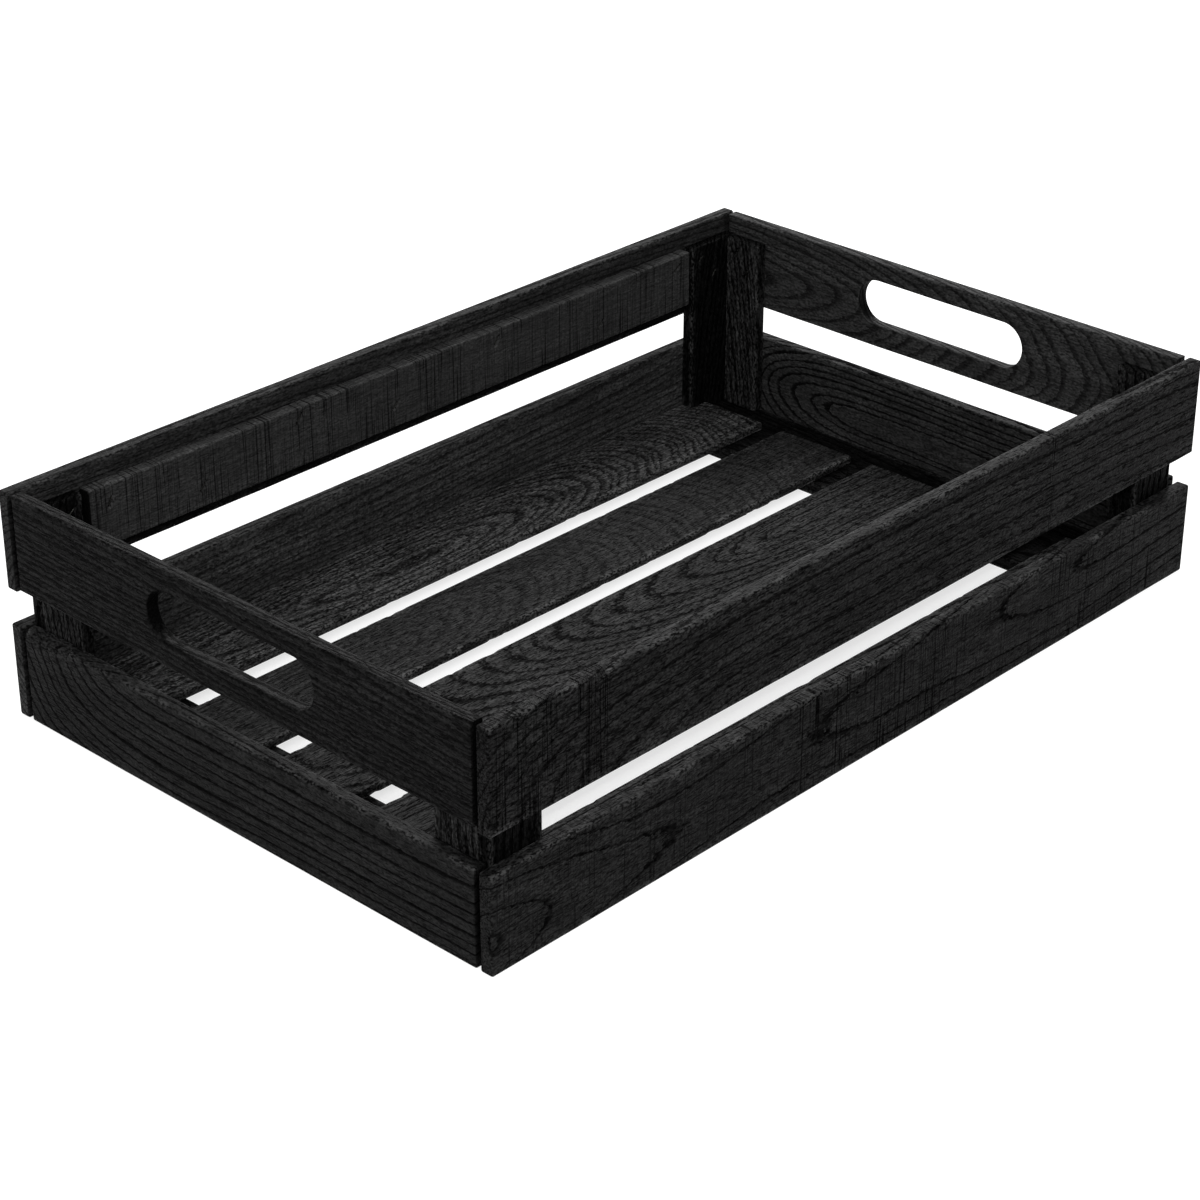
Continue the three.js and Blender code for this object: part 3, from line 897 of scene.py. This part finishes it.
class CRATE_OT_stage(bpy.types.Operator):
    """Lay the plain floor and set the soft light and the camera"""

    bl_idname = "crate.stage"
    bl_label = "Stage"

    def execute(self, context):
        settings = context.scene.crate_stage
        self.lay_floor(settings)
        self.set_light(context.scene, settings)
        self.set_camera(context.scene, settings)
        return {"FINISHED"}

    @staticmethod
    def lay_floor(settings):
        """A wide flat sheet of opal acrylic, softly lit from below."""
        reach = 12.0
        mesh = bpy.data.meshes.new("studio_floor")
        corners = [(-reach, -reach, 0), (reach, -reach, 0), (reach, reach, 0), (-reach, reach, 0)]
        mesh.from_pydata(corners, [], [(0, 1, 2, 3)])
        opal = bpy.data.materials.new("Opal acrylic sheet, lit from below")
        opal.use_nodes = True
        tree = opal.node_tree
        tree.nodes.clear()
        shader = add(tree, "ShaderNodeBsdfPrincipled", {
            "Base Color": (*settings.floor, 1.0), "Roughness": 0.9, "Specular IOR Level": 0.1,
            "Emission Color": (1.0, 1.0, 1.0, 1.0), "Emission Strength": settings.table_glow})
        add(tree, "ShaderNodeOutputMaterial", (shader,), out=None)
        mesh.materials.append(opal)
        floor = bpy.data.objects.new("studio_floor", mesh)
        bpy.context.scene.collection.objects.link(floor)

    @staticmethod
    def set_light(scene, settings):
        """White surroundings, a wide panel behind the crate and a soft one in front of it."""
        world = bpy.data.worlds.new("White surroundings")
        world.use_nodes = True
        tree = world.node_tree
        tree.nodes.clear()
        glow = add(tree, "ShaderNodeBackground", ((1.0, 1.0, 1.0, 1.0), settings.sky))
        add(tree, "ShaderNodeOutputWorld", (glow,), out=None)
        scene.world = world
        panels = (("back_panel", (1.3, 1.25, 1.5), 2.2, settings.back_light),
                  ("key_panel", (-1.3, -1.4, 1.7), 1.6, settings.key_light))
        for name, place, size, power in panels:
            light = bpy.data.lights.new(name, "AREA")
            light.size = size
            light.energy = power
            lamp = bpy.data.objects.new(name, light)
            lamp.location = place
            lamp.rotation_euler = (-Vector(place)).to_track_quat("-Z", "Y").to_euler()
            scene.collection.objects.link(lamp)
        scene.view_settings.view_transform = "Standard"

    @staticmethod
    def set_camera(scene, settings):
        """A long lens from the front left, looking down at the crate."""
        turn, rise = settings.azimuth, settings.elevation
        back = Vector((math.sin(turn) * math.cos(rise), -math.cos(turn) * math.cos(rise),
                       math.sin(rise)))
        lens = bpy.data.cameras.new("studio_camera")
        lens.lens = settings.lens
        lens.sensor_width = 36
        camera = bpy.data.objects.new("studio_camera", lens)
        camera.location = Vector(settings.aim) + back * settings.distance
        camera.rotation_euler = (-back).to_track_quat("-Z", "Y").to_euler()
        scene.collection.objects.link(camera)
        scene.camera = camera


PIECES = (CRATE_OT_wall_boards, CRATE_OT_corner_posts, CRATE_OT_ledgers,
          CRATE_OT_cross_battens, CRATE_OT_floor_slats, CRATE_OT_staples, CRATE_OT_stage)


class CRATE_PT_panel(bpy.types.Panel):
    """Lists the crate's settings and its pieces"""

    bl_idname = "CRATE_PT_panel"
    bl_label = "Slatted Crate"
    bl_space_type = "VIEW_3D"
    bl_region_type = "UI"
    bl_category = "Crate"

    def draw(self, context):
        column = self.layout.column()
        for settings in (context.scene.crate_timber, context.scene.crate_stage):
            for name in settings.__annotations__:
                column.prop(settings, name)
        for operator in PIECES:
            column.operator(operator.bl_idname)


CLASSES = (CrateTimberSettings, CrateStageSettings, *PIECES, CRATE_PT_panel)


def register():
    for cls in CLASSES:
        bpy.utils.register_class(cls)
    bpy.types.Scene.crate_timber = PointerProperty(type=CrateTimberSettings)
    bpy.types.Scene.crate_stage = PointerProperty(type=CrateStageSettings)


def unregister():
    del bpy.types.Scene.crate_stage
    del bpy.types.Scene.crate_timber
    for cls in reversed(CLASSES):
        bpy.utils.unregister_class(cls)


def main():
    register()
    bpy.ops.crate.wall_boards()
    bpy.ops.crate.corner_posts()
    bpy.ops.crate.ledgers()
    bpy.ops.crate.cross_battens()
    bpy.ops.crate.floor_slats()
    bpy.ops.crate.staples()
    bpy.ops.crate.stage()


if __name__ == "__main__":
    main()
